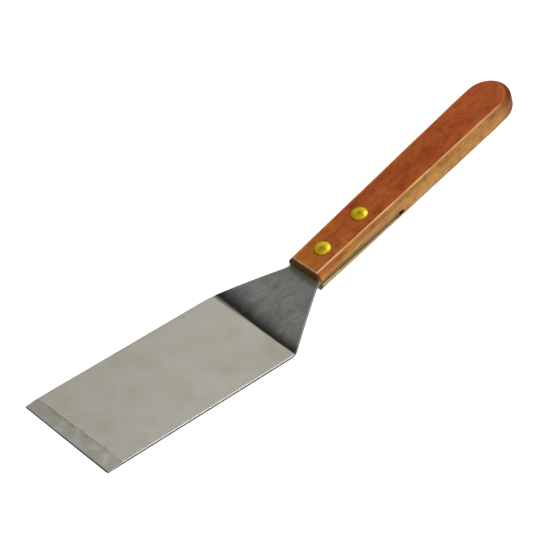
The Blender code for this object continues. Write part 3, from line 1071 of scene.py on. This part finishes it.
def domed_head(sizes, face, side):
    """Section of a head from its middle to its rim: a dome, a narrow flat rim and a rounded edge.

    Heights are above the face of the wood that the head is seated in.
    """
    radius = sizes.rivet_head / MM / 2
    dome = sizes.rivet_dome / MM
    edge = radius - HEAD_EDGE_ROUND
    land = edge - HEAD_FLAT_RIM
    points = []
    for part in np.linspace(0.0, 1.0, 19):
        points.append((land * part, 0.30 + (dome - 0.18) * (1.0 - part**2.3)))
    points += [(land + 0.08, 0.27), (edge, 0.245)]
    for turn in np.radians((25.0, 50.0, 75.0, 90.0)):
        points.append((edge + HEAD_EDGE_ROUND * math.sin(turn), 0.025 + HEAD_EDGE_ROUND * math.cos(turn)))
    return [(r, face + side * z) for r, z in points]


class PALETTEKNIFE_OT_rivets(bpy.types.Operator):
    """Make the two halves of both brass compression rivets"""

    bl_idname = "palette_knife.rivets"
    bl_label = "Make Rivets"

    def execute(self, context):
        sizes = context.scene.palette_knife_sizes
        brass = polished_brass(context.scene.palette_knife_colours)
        head = sizes.rivet_head / MM / 2
        shank = RIVET_SHANK / 2
        bore = shank + RIVET_BORE_GAP
        tube = RIVET_TUBE / 2
        for seed, (end, place) in enumerate(RIVET_PLACES.items()):
            top = handle_face(place, 1)
            bottom = handle_face(place, -1)
            upper = top - RIVET_HEAD_DEPTH
            lower = bottom + RIVET_HEAD_DEPTH
            tip = lower + RIVET_BORE_GAP
            male = domed_head(sizes, top, 1)
            male += [(head, upper + 0.1), (head - 0.1, upper), (shank + 0.3, upper), (shank, upper - 0.3)]
            male += [(shank, tip + 0.4), (shank - 0.35, tip), (0.0, tip)]
            female = [(0.0, lower), (bore, lower), (bore, upper - 0.5), (bore + 0.2, upper - RIVET_BORE_GAP)]
            female += [(tube - 0.1, upper - RIVET_BORE_GAP), (tube, upper - 0.4)]
            female += [(tube, lower + 0.2), (tube + 0.2, lower)]
            female += [(head - 0.1, lower), (head, lower - 0.1), *reversed(domed_head(sizes, bottom, -1))]
            for half, profile in (("male", male), ("female", female)):
                name = f"{end}_brass_rivet_{half}"
                own_seed = seed * 3.7 + len(half)
                made = turned_piece(name, profile, place, sizes, 64, brass, HEAD_UNEVENNESS, own_seed)
                shade(made.data, 42.0)
                finish_piece(made, [brass], f"{end}_rivet_{half}")
        return {"FINISHED"}


# Materials.


STEEL_MARKS = ("band", "in_band_width", "inboard", "wedge", "dull_corner", "hollow")
STEEL_MARKS += ("neck", "painted_handle_reflection", "painted_light_by_handle", "olive_line", "tang", "sheared_edge_and_shade")
WOOD_MARKS = ("sanded_and_lit_flank", "near_front", "below_slot", "butt", "front_end", "slot_lip", "painted_arris_highlight", "slot")
# Tones back from the tip: the ground band ends at one third, and is bare of them past it.
GROUND_STOPS = ((0.0, "#FFFFFF"), (0.22, "#FBFCF6"), (0.30, "#F1F3E9"))
GROUND_STOPS += ((0.345, "#E8EADD"), (0.355, "#FFFFFF"))


def satin_steel(colours):
    """Satin stainless sheet, rolled, lightly brushed and ground at the tip.

    The eye gets a soft even sheen with faint cloudy patches, hair-fine scratches and a darker, greener
    ground band at the tip.
    """
    made, tree, shader = new_material("satin_stainless_sheet_rolled_and_ground")
    # The patterns lie on the sheet as it was before it was bent, so that they run on round the bend.
    place = add_node(tree, "ShaderNodeAttribute", attribute_name="flat_sheet").outputs["Vector"]
    centred = add_node(tree, "ShaderNodeMapping", {"Vector": place, "Location": (0.05, 0.0, 0.0)}).outputs[0]
    # Brush lines are 0.1 mm apart on the real sheet; they are drawn 0.5 mm apart, so that they show.
    lined = add_node(tree, "ShaderNodeMapping", {"Vector": centred, "Scale": (0.035, 1.0, 1.0)}).outputs[0]
    known = {}
    for mark in STEEL_MARKS:
        known[mark] = add_node(tree, "ShaderNodeAttribute", attribute_name=mark).outputs["Fac"]
    # Clouds 14 mm and patches 5 mm across in the rolled skin, and finer unevenness down to the burr's teeth.
    patterns = (
        ("cloud", centred, 14.0, {"Detail": 5.0, "Roughness": 0.62}),
        ("patch", centred, 5.0, {"Detail": 4.0}),
        ("fine", centred, 2.4, {"Detail": 3.0}),
        ("tooth", centred, 1.1, {"Detail": 2.0}),
        ("brush", lined, 0.5, {"Detail": 2.0}),
    )
    for name, places, size, settings in patterns:
        inputs = {"Vector": places, "Scale": 1 / (size * MM), **settings}
        known[name] = add_node(tree, "ShaderNodeTexNoise", inputs).outputs[0]
    # Straight handling scratches up to 15 mm long, drawn 0.3 mm wide, in three directions.
    known["hairs"] = 0.0
    for turn, offset, low in ((10.0, 0.3, 0.64), (24.0, 0.7, 0.68), (-38.0, 1.9, 0.71)):
        inputs = {"Location": (offset, 0.0, 0.0), "Rotation": (0.0, 0.0, math.radians(turn))}
        turned = add_node(tree, "ShaderNodeMapping", {"Vector": centred, **inputs}).outputs[0]
        drawn = add_node(tree, "ShaderNodeMapping", {"Vector": turned, "Scale": (0.035, 1.0, 0.0)}).outputs[0]
        inputs = {"Vector": drawn, "Scale": 1 / (0.5 * MM), "Detail": 0.0}
        line = add_node(tree, "ShaderNodeTexNoise", inputs).outputs[0]
        kept = set_stops(add_node(tree, "ShaderNodeValToRGB", {0: line}), ((low, 0.0), (low + 0.06, 1.0)))
        inputs = {0: known["hairs"], 1: kept}
        known["hairs"] = add_node(tree, "ShaderNodeMath", inputs, operation="MAXIMUM").outputs[0]
    # Pits and specks 0.4 mm across, 4.5 mm apart.
    cells = add_node(tree, "ShaderNodeTexVoronoi", {"Vector": centred, "Scale": 1 / (4.5 * MM)})
    known["pit"] = cells.outputs["Distance"]

    # The burr's line is torn, and most of the scratches are on the neck.
    sums = (
        ("scatter", "MULTIPLY", "tooth", 0.16),
        ("jitter", "SUBTRACT", "scatter", 0.08),
        ("torn", "ADD", "band", "jitter"),
        ("third", "DIVIDE", "torn", 3.0),
        ("on_neck", "MULTIPLY", "neck", 0.7),
        ("anywhere", "ADD", "on_neck", 0.3),
        ("hair", "MULTIPLY", "hairs", "anywhere"),
    )
    do_sums(tree, sums, known)
    grades = (
        ("specks", "pit", ((0.03, 1.0), (0.07, 0.0))),
        ("at_line", "third", ((0.315, 0.0), (0.329, 1.0), (0.336, 1.0), (0.346, 0.0))),
        ("before_line", "third", ((0.325, 1.0), (0.34, 0.0))),
        ("dashes", "fine", ((0.44, 0.0), (0.56, 1.0))),
        ("worn", "patch", ((0.48, 0.0), (0.66, 0.24))),
        ("clouded", "cloud", ((0.30, "#F0EEE9"), (0.52, "#FAF9F6"), (0.72, "#FFFFFF"))),
        ("haze", "patch", ((0.34, "#E4E7EC"), (0.5, "#F8FAFF"), (0.66, "#FFFFFF"))),
        ("ground_tone", "third", GROUND_STOPS),
    )
    for result, value, stops in grades:
        known[result] = set_stops(add_node(tree, "ShaderNodeValToRGB", {0: known[value]}), stops)
    # Burr and dirt gather at the inner line in broken dashes, and leave it clean near the sides.
    sums = (
        ("dashed", "MULTIPLY", "at_line", "dashes"),
        ("dirt", "MULTIPLY", "dashed", "inboard"),
        ("in_band", "MULTIPLY", "before_line", "in_band_width"),
        ("rubbed", "MULTIPLY", "worn", "in_band"),
    )
    do_sums(tree, sums, known)

    # Specks are dull pits on the blade and bright pinpricks on the neck.
    specks = (("neck", 1.0, "#F4F4F0", "MIX"),)
    known["speck_tone"] = lay_tones(tree, (*linear("#A5A296"), 1.0), specks, known)
    # Sheared walls are dark and dull, and at the front edge that dark is painted shade. Along the neck they
    # are painted paler, a painted edge highlight; between the wood they are paler with old oil.
    walls = (("neck", 1.0, "#7A7972", "MIX"), ("tang", 1.0, "#7F7648", "MIX"))
    known["wall_tone"] = lay_tones(tree, (*linear("#504E46"), 1.0), walls, known)
    layers = (
        (None, 1.0, "clouded", "MULTIPLY"),
        ("in_band_width", 1.0, "ground_tone", "MULTIPLY"),
        # Paler patches where the ground band is rubbed bright.
        ("rubbed", 1.0, "#EDEEEA", "MIX"),
        # The sheet is duller toward its rear corner.
        ("dull_corner", 1.0, "#F0F0EC", "MULTIPLY"),
        # The neck keeps a cooler rolled skin with hazy patches. Toward the handle it is painted darker, a
        # painted reflection of the dark handle.
        ("neck", 1.0, "haze", "MULTIPLY"),
        ("painted_handle_reflection", 1.0, "#D4DADB", "MULTIPLY"),
        # A bright wedge where the grinding wheel skipped.
        ("wedge", 0.45, "#F2EEE6", "MIX"),
        ("dirt", 1.0, "#86836F", "MIX"),
        # A nearly black stripe is laid on the sheet just behind the bend.
        ("hollow", 0.9, "#1A1A14", "MIX"),
        ("specks", 1.0, "speck_tone", "MIX"),
        # Painted shade: the tang inside the handle is darkened, as shade in the saw cut.
        ("tang", 0.8, "#3A3426", "MIX"),
        # Painted light: beside the handle the neck is painted paler and less metallic, against the handle's
        # shadow. An olive line is laid on the neck against the handle.
        ("painted_light_by_handle", 0.55, "#83887C", "MIX"),
        ("olive_line", 0.9, "#B3AE62", "MIX"),
        # Partly painted shade: the walls' tone also darkens the front edge and the neck's rolled-over edge.
        ("sheared_edge_and_shade", 1.0, "wall_tone", "MIX"),
    )
    tone = lay_tones(tree, (*colours.steel, 1.0), layers, known)

    # Roughness 0.34 to 0.43 in the clouds, a little glossier where it is ground, duller in the scratches.
    sums = (
        ("slow", "MULTIPLY", "cloud", 0.12),
        ("quick", "MULTIPLY", "fine", 0.05),
        ("lines", "MULTIPLY", "brush", 0.06),
        ("together", "ADD", "slow", "quick"),
        ("skin", "ADD", "together", "lines"),
        ("level", "ADD", "skin", 0.27),
        ("patchy", "MULTIPLY", "patch", 0.5),
        ("mild", "SUBTRACT", "patchy", 0.17),
        ("ground", "MULTIPLY", "in_band", "mild"),
        ("with_band", "ADD", "level", "ground"),
        ("scratched", "MULTIPLY", "hair", 0.16),
        ("with_hair", "ADD", "with_band", "scratched"),
        ("wall", "MULTIPLY", "sheared_edge_and_shade", 0.22),
        ("roughness", "ADD", "with_hair", "wall"),
        ("brush_depth", "MULTIPLY", "brush", 0.0025),
        ("fine_depth", "MULTIPLY", "fine", 0.004),
        ("hair_depth", "MULTIPLY", "hair", -0.004),
        ("speck_depth", "MULTIPLY", "specks", -0.02),
        ("two", "ADD", "brush_depth", "fine_depth"),
        ("three", "ADD", "two", "hair_depth"),
        ("height", "ADD", "three", "speck_depth"),
        # Painted light: beside the handle the neck is less metallic, so that it takes more light.
        ("painted_light_share", "MULTIPLY", "painted_light_by_handle", 0.6),
        ("metal", "SUBTRACT", 1.0, "painted_light_share"),
    )
    do_sums(tree, sums, known)
    connect_surface(tree, shader, tone, known)
    tree.links.new(known["metal"], shader.inputs["Metallic"])
    return made


def oiled_hardwood(colours):
    """Reddish tropical hardwood, planed, sanded and oiled.

    The eye gets a warm red-brown with slow darker clouds along the grain, short dark pores, painted pale
    highlights along the arrises, tan flanks painted paler on the side toward the key light, and nearly black
    end grain at the front.
    """
    made, tree, shader = new_material("reddish_hardwood_sanded_and_oiled")
    place = add_node(tree, "ShaderNodeTexCoord").outputs["Object"]
    turn = (0.0, math.radians(HANDLE_ANGLE), 0.0)
    grain = add_node(tree, "ShaderNodeMapping", {"Vector": place, "Rotation": turn}).outputs[0]

    known = {}
    for mark in WOOD_MARKS:
        known[mark] = add_node(tree, "ShaderNodeAttribute", attribute_name=mark).outputs["Fac"]
    # Growth bands 5 mm wide, oil clouds 9 mm and spots 3 mm across, and pores 0.25 mm by 1 to 2 mm.
    # The fibres are 0.25 mm wide on the real wood and are drawn 0.5 mm wide. Each runs along the grain.
    patterns = (
        ("ring", 0.09, 5.0, {"Detail": 4.0, "Distortion": 0.6}),
        ("fibre", 0.06, 0.5, {"Detail": 3.0}),
        ("cloud", 0.5, 9.0, {"Detail": 4.0, "Roughness": 0.6}),
        ("short", 0.22, 0.62, {"Detail": 1.0}),
        ("spot", 0.75, 3.0, {"Detail": 5.0}),
    )
    for name, stretch, size, settings in patterns:
        inputs = {"Vector": grain, "Scale": (stretch, 1.0, 1.0)}
        drawn = add_node(tree, "ShaderNodeMapping", inputs).outputs[0]
        inputs = {"Vector": drawn, "Scale": 1 / (size * MM), **settings}
        known[name] = add_node(tree, "ShaderNodeTexNoise", inputs).outputs[0]
    grades = (
        ("pore", "short", ((0.62, 0.0), (0.74, 1.0))),
        ("flecks", "short", ((0.24, 1.0), (0.34, 0.0))),
        ("cloud_tone", "cloud", ((0.32, "#E0B6A6"), (0.44, "#F2DCCB"), (0.55, "#FAF0E0"), (0.68, "#FFFFF0"))),
        ("ring_tone", "ring", ((0.34, "#ECD6C6"), (0.50, "#F8F0E6"), (0.66, "#FFFFFF"))),
        ("fibre_tone", "fibre", ((0.30, "#F2E8DE"), (0.60, "#FFFFFF"))),
        ("spot_tone", "spot", ((0.34, "#E4CEC0"), (0.46, "#FAF4EC"), (0.62, "#FFFFFF"), (0.72, "#FFE2D4"))),
    )
    for result, value, stops in grades:
        known[result] = set_stops(add_node(tree, "ShaderNodeValToRGB", {0: known[value]}), stops)
    known["bare_flank"] = (*colours.wood_flank, 1.0)
    layers = (
        # Painted light, partly real: the flanks are paler sanded wood, painted paler still on the side toward
        # the key light.
        ("sanded_and_lit_flank", 1.0, "bare_flank", "MIX"),
        ("near_front", 0.7, "#C8893A", "MIX"),
        # Oil has sunk in unevenly: redder and browner clouds, and paler yellow ones.
        (None, 1.0, "cloud_tone", "MULTIPLY"),
        (None, 1.0, "ring_tone", "MULTIPLY"),
        (None, 1.0, "fibre_tone", "MULTIPLY"),
        (None, 1.0, "spot_tone", "MULTIPLY"),
        ("pore", 0.34, "#5A2A14", "MIX"),
        ("flecks", 0.30, "#C98A5C", "MIX"),
        ("butt", 0.97, "#633617", "MIX"),
        ("below_slot", 0.70, "#A5935A", "MIX"),
        ("front_end", 0.88, "#42260F", "MIX"),
        ("slot_lip", 0.9, "#B3A85E", "MIX"),
        # Painted highlight: a pale line along the top arrises.
        ("painted_arris_highlight", 0.92, "#F8CE90", "MIX"),
        # Painted shade: the saw cut's walls are nearly black, as shade in the gap.
        ("slot", 0.90, "#20120A", "MIX"),
    )
    tone = lay_tones(tree, (*colours.wood, 1.0), layers, known)
    sums = (
        ("slow", "MULTIPLY", "cloud", 0.18),
        ("fine", "MULTIPLY", "fibre", 0.10),
        ("both", "ADD", "slow", "fine"),
        ("level", "ADD", "both", 0.34),
        ("open", "MULTIPLY", "pore", 0.2),
        ("roughness", "ADD", "level", "open"),
        ("fibre_depth", "MULTIPLY", "fibre", 0.02),
        ("pore_depth", "MULTIPLY", "pore", -0.05),
        ("ring_depth", "MULTIPLY", "ring", 0.02),
        ("first", "ADD", "fibre_depth", "pore_depth"),
        ("height", "ADD", "first", "ring_depth"),
        ("dulled", "MULTIPLY", "butt", 0.2),
        ("gloss", "SUBTRACT", 0.25, "dulled"),
    )
    do_sums(tree, sums, known)
    connect_surface(tree, shader, tone, known)
    tree.links.new(known["gloss"], shader.inputs["Specular IOR Level"])
    shader.inputs["IOR"].default_value = 1.45
    return made


def polished_brass(colours):
    """Brass rivet, cold-headed and polished, a little tarnished.

    The eye gets a saturated yellow with a bright crescent, and painted reflection in rings: a darker olive
    middle and a darker edge round a brighter ring.
    """
    made, tree, shader = new_material("brass_headed_and_polished")
    place = add_node(tree, "ShaderNodeTexCoord").outputs["Object"]
    inputs = {"Vector": place, "Location": (-0.03, 0.0, -0.03)}
    centred = add_node(tree, "ShaderNodeMapping", inputs).outputs[0]
    lined = add_node(tree, "ShaderNodeMapping", {"Vector": centred, "Scale": (0.12, 1.0, 1.0)}).outputs[0]
    known = {"radial": add_node(tree, "ShaderNodeAttribute", attribute_name="radial").outputs["Fac"]}
    # Tarnish patches 2.5 mm across and polishing marks drawn 0.3 mm wide.
    for name, places, size, detail in (("patch", centred, 2.5, 4.0), ("mark", lined, 0.3, 2.0)):
        inputs = {"Vector": places, "Scale": 1 / (size * MM), "Detail": detail}
        known[name] = add_node(tree, "ShaderNodeTexNoise", inputs).outputs[0]
    grades = (
        ("tarnish", "patch", ((0.35, "#EDE7B8"), (0.55, "#FFFFFF"))),
        # Painted reflection: the tones across the head darken its middle to olive and its edge, round a
        # brighter ring.
        ("rim", "radial", ((0.08, "#B9AD6E"), (0.42, "#E8E2BC"), (0.72, "#FFFFFF"), (1.0, "#C8B468"))),
    )
    for result, value, stops in grades:
        known[result] = set_stops(add_node(tree, "ShaderNodeValToRGB", {0: known[value]}), stops)
    layers = ((None, 1.0, "tarnish", "MULTIPLY"), (None, 1.0, "rim", "MULTIPLY"))
    tone = lay_tones(tree, (*colours.brass, 1.0), layers, known)
    sums = (
        ("slow", "MULTIPLY", "patch", 0.16),
        ("fine", "MULTIPLY", "mark", 0.08),
        ("both", "ADD", "slow", "fine"),
        ("roughness", "ADD", "both", 0.20),
        ("mark_depth", "MULTIPLY", "mark", 0.0012),
        ("patch_depth", "MULTIPLY", "patch", 0.004),
        ("height", "ADD", "mark_depth", "patch_depth"),
    )
    do_sums(tree, sums, known)
    connect_surface(tree, shader, tone, known)
    shader.inputs["Metallic"].default_value = 0.55
    return made


def studio_floor(colours):
    """Seamless white paper, lit from below as well, so that it stays an even white."""
    made, tree, shader = new_material("seamless_white_paper")
    place = add_node(tree, "ShaderNodeTexCoord").outputs["Object"]
    tooth = add_node(tree, "ShaderNodeTexNoise", {"Vector": place, "Scale": 1 / (4 * MM), "Detail": 2.0})
    relief = add_node(tree, "ShaderNodeBump", {"Height": tooth.outputs[0], "Distance": 0.02 * MM})
    tree.links.new(relief.outputs[0], shader.inputs["Normal"])
    shader.inputs["Base Color"].default_value = (*colours.floor, 1.0)
    shader.inputs["Roughness"].default_value = 0.9
    shader.inputs["Specular IOR Level"].default_value = 0.2
    shader.inputs["Emission Color"].default_value = (1.0, 1.0, 1.0, 1.0)
    shader.inputs["Emission Strength"].default_value = 1.0
    return made


# Studio, in metres.

VIEW_TARGET = (0.00457, 0.0207, 0.0)
VIEW_BACK = (-0.5307, -0.5662, 0.6308)
VIEW_DISTANCE = 1.0
LENS = 137.85
FLOOR_DROP = 0.2 * MM
FLOOR_HALF = 3.0
ROOM = (0.112, 0.121, 0.13, 1.0)
# Soft boxes as (name, direction from the object, distance, width and height, watts, colour).
SOFTBOXES = (
    ("rear_softbox", (0.43, 0.62, 0.66), 1.4, (1.1, 0.8), 1.6, (1.0, 0.94, 0.79)),
    ("top_softbox", (0.48, 0.1, 0.86), 1.2, (0.35, 0.35), 3.1, (0.98, 0.99, 1.0)),
    ("right_softbox", (0.73, -0.68, 0.45), 1.3, (1.5, 1.2), 8.6, (1.0, 1.0, 1.0)),
    ("front_softbox", (-0.05, -0.5, 0.85), 1.4, (2.0, 1.6), 11.6, (1.0, 1.0, 1.0)),
)


def add_softbox(name, toward, distance, size, power, colour):
    """Add a soft box that shines at the middle of the object from a direction."""
    lamp = bpy.data.lights.new(name, "AREA")
    lamp.shape = "RECTANGLE"
    lamp.size, lamp.size_y = size
    lamp.energy = power
    lamp.color = colour
    made = bpy.data.objects.new(name, lamp)
    bpy.context.scene.collection.objects.link(made)
    direction = Vector(toward).normalized()
    made.location = direction * distance
    made.rotation_euler = direction.to_track_quat("Z", "Y").to_euler()
    made.visible_camera = False


class PALETTEKNIFE_OT_stage(bpy.types.Operator):
    """Make the plain floor, the soft studio light and the camera"""

    bl_idname = "palette_knife.stage"
    bl_label = "Make Stage"

    def execute(self, context):
        scene = context.scene
        signs = ((-1, -1), (1, -1), (1, 1), (-1, 1))
        corners = [(FLOOR_HALF * x, FLOOR_HALF * y, -FLOOR_DROP) for x, y in signs]
        floor = new_object("studio_floor", corners, [(0, 1, 2, 3)])
        floor.data.materials.append(studio_floor(scene.palette_knife_colours))

        # The room is dim and slightly cool, and what shows behind the floor is white like it.
        world = bpy.data.worlds.new("studio")
        world.use_nodes = True
        tree = world.node_tree
        seen = add_node(tree, "ShaderNodeLightPath").outputs["Is Camera Ray"]
        shown = add_node(
            tree, "ShaderNodeMix", {"Factor": seen, 6: ROOM, 7: (1.0, 1.0, 1.0, 1.0)}, data_type="RGBA"
        ).outputs[2]
        tree.links.new(shown, tree.nodes["Background"].inputs["Color"])
        scene.world = world

        for softbox in SOFTBOXES:
            add_softbox(*softbox)

        lens = bpy.data.cameras.new("camera")
        lens.lens = LENS
        lens.sensor_width = 36.0
        lens.clip_start = 0.01
        camera = bpy.data.objects.new("camera", lens)
        scene.collection.objects.link(camera)
        back = Vector(VIEW_BACK).normalized()
        camera.location = Vector(VIEW_TARGET) + back * VIEW_DISTANCE
        camera.rotation_euler = back.to_track_quat("Z", "Y").to_euler()
        scene.camera = camera
        scene.view_settings.view_transform = "Standard"
        return {"FINISHED"}


class PALETTEKNIFE_PT_panel(bpy.types.Panel):
    """The knife's sizes and colours, and a button for each of its pieces"""

    bl_idname = "PALETTEKNIFE_PT_panel"
    bl_label = "Palette Knife"
    bl_space_type = "VIEW_3D"
    bl_region_type = "UI"
    bl_category = "Palette Knife"

    def draw(self, context):
        layout = self.layout
        for group in (context.scene.palette_knife_sizes, context.scene.palette_knife_colours):
            column = layout.column()
            for name in group.__annotations__:
                column.prop(group, name)
        for operator in OPERATORS:
            layout.operator(operator.bl_idname)


OPERATORS = (PALETTEKNIFE_OT_stage, PALETTEKNIFE_OT_blade, PALETTEKNIFE_OT_handle, PALETTEKNIFE_OT_rivets)
CLASSES = (PaletteKnifeSizes, PaletteKnifeColours, *OPERATORS, PALETTEKNIFE_PT_panel)


def register():
    """Register the classes and add the settings to the scene."""
    for made in CLASSES:
        bpy.utils.register_class(made)
    bpy.types.Scene.palette_knife_sizes = bpy.props.PointerProperty(type=PaletteKnifeSizes)
    bpy.types.Scene.palette_knife_colours = bpy.props.PointerProperty(type=PaletteKnifeColours)


def unregister():
    """Remove the settings and the classes."""
    del bpy.types.Scene.palette_knife_colours
    del bpy.types.Scene.palette_knife_sizes
    for made in reversed(CLASSES):
        bpy.utils.unregister_class(made)


def main():
    """Make every piece in order."""
    register()
    bpy.ops.palette_knife.stage()
    bpy.ops.palette_knife.blade()
    bpy.ops.palette_knife.handle()
    bpy.ops.palette_knife.rivets()


if __name__ == "__main__":
    main()
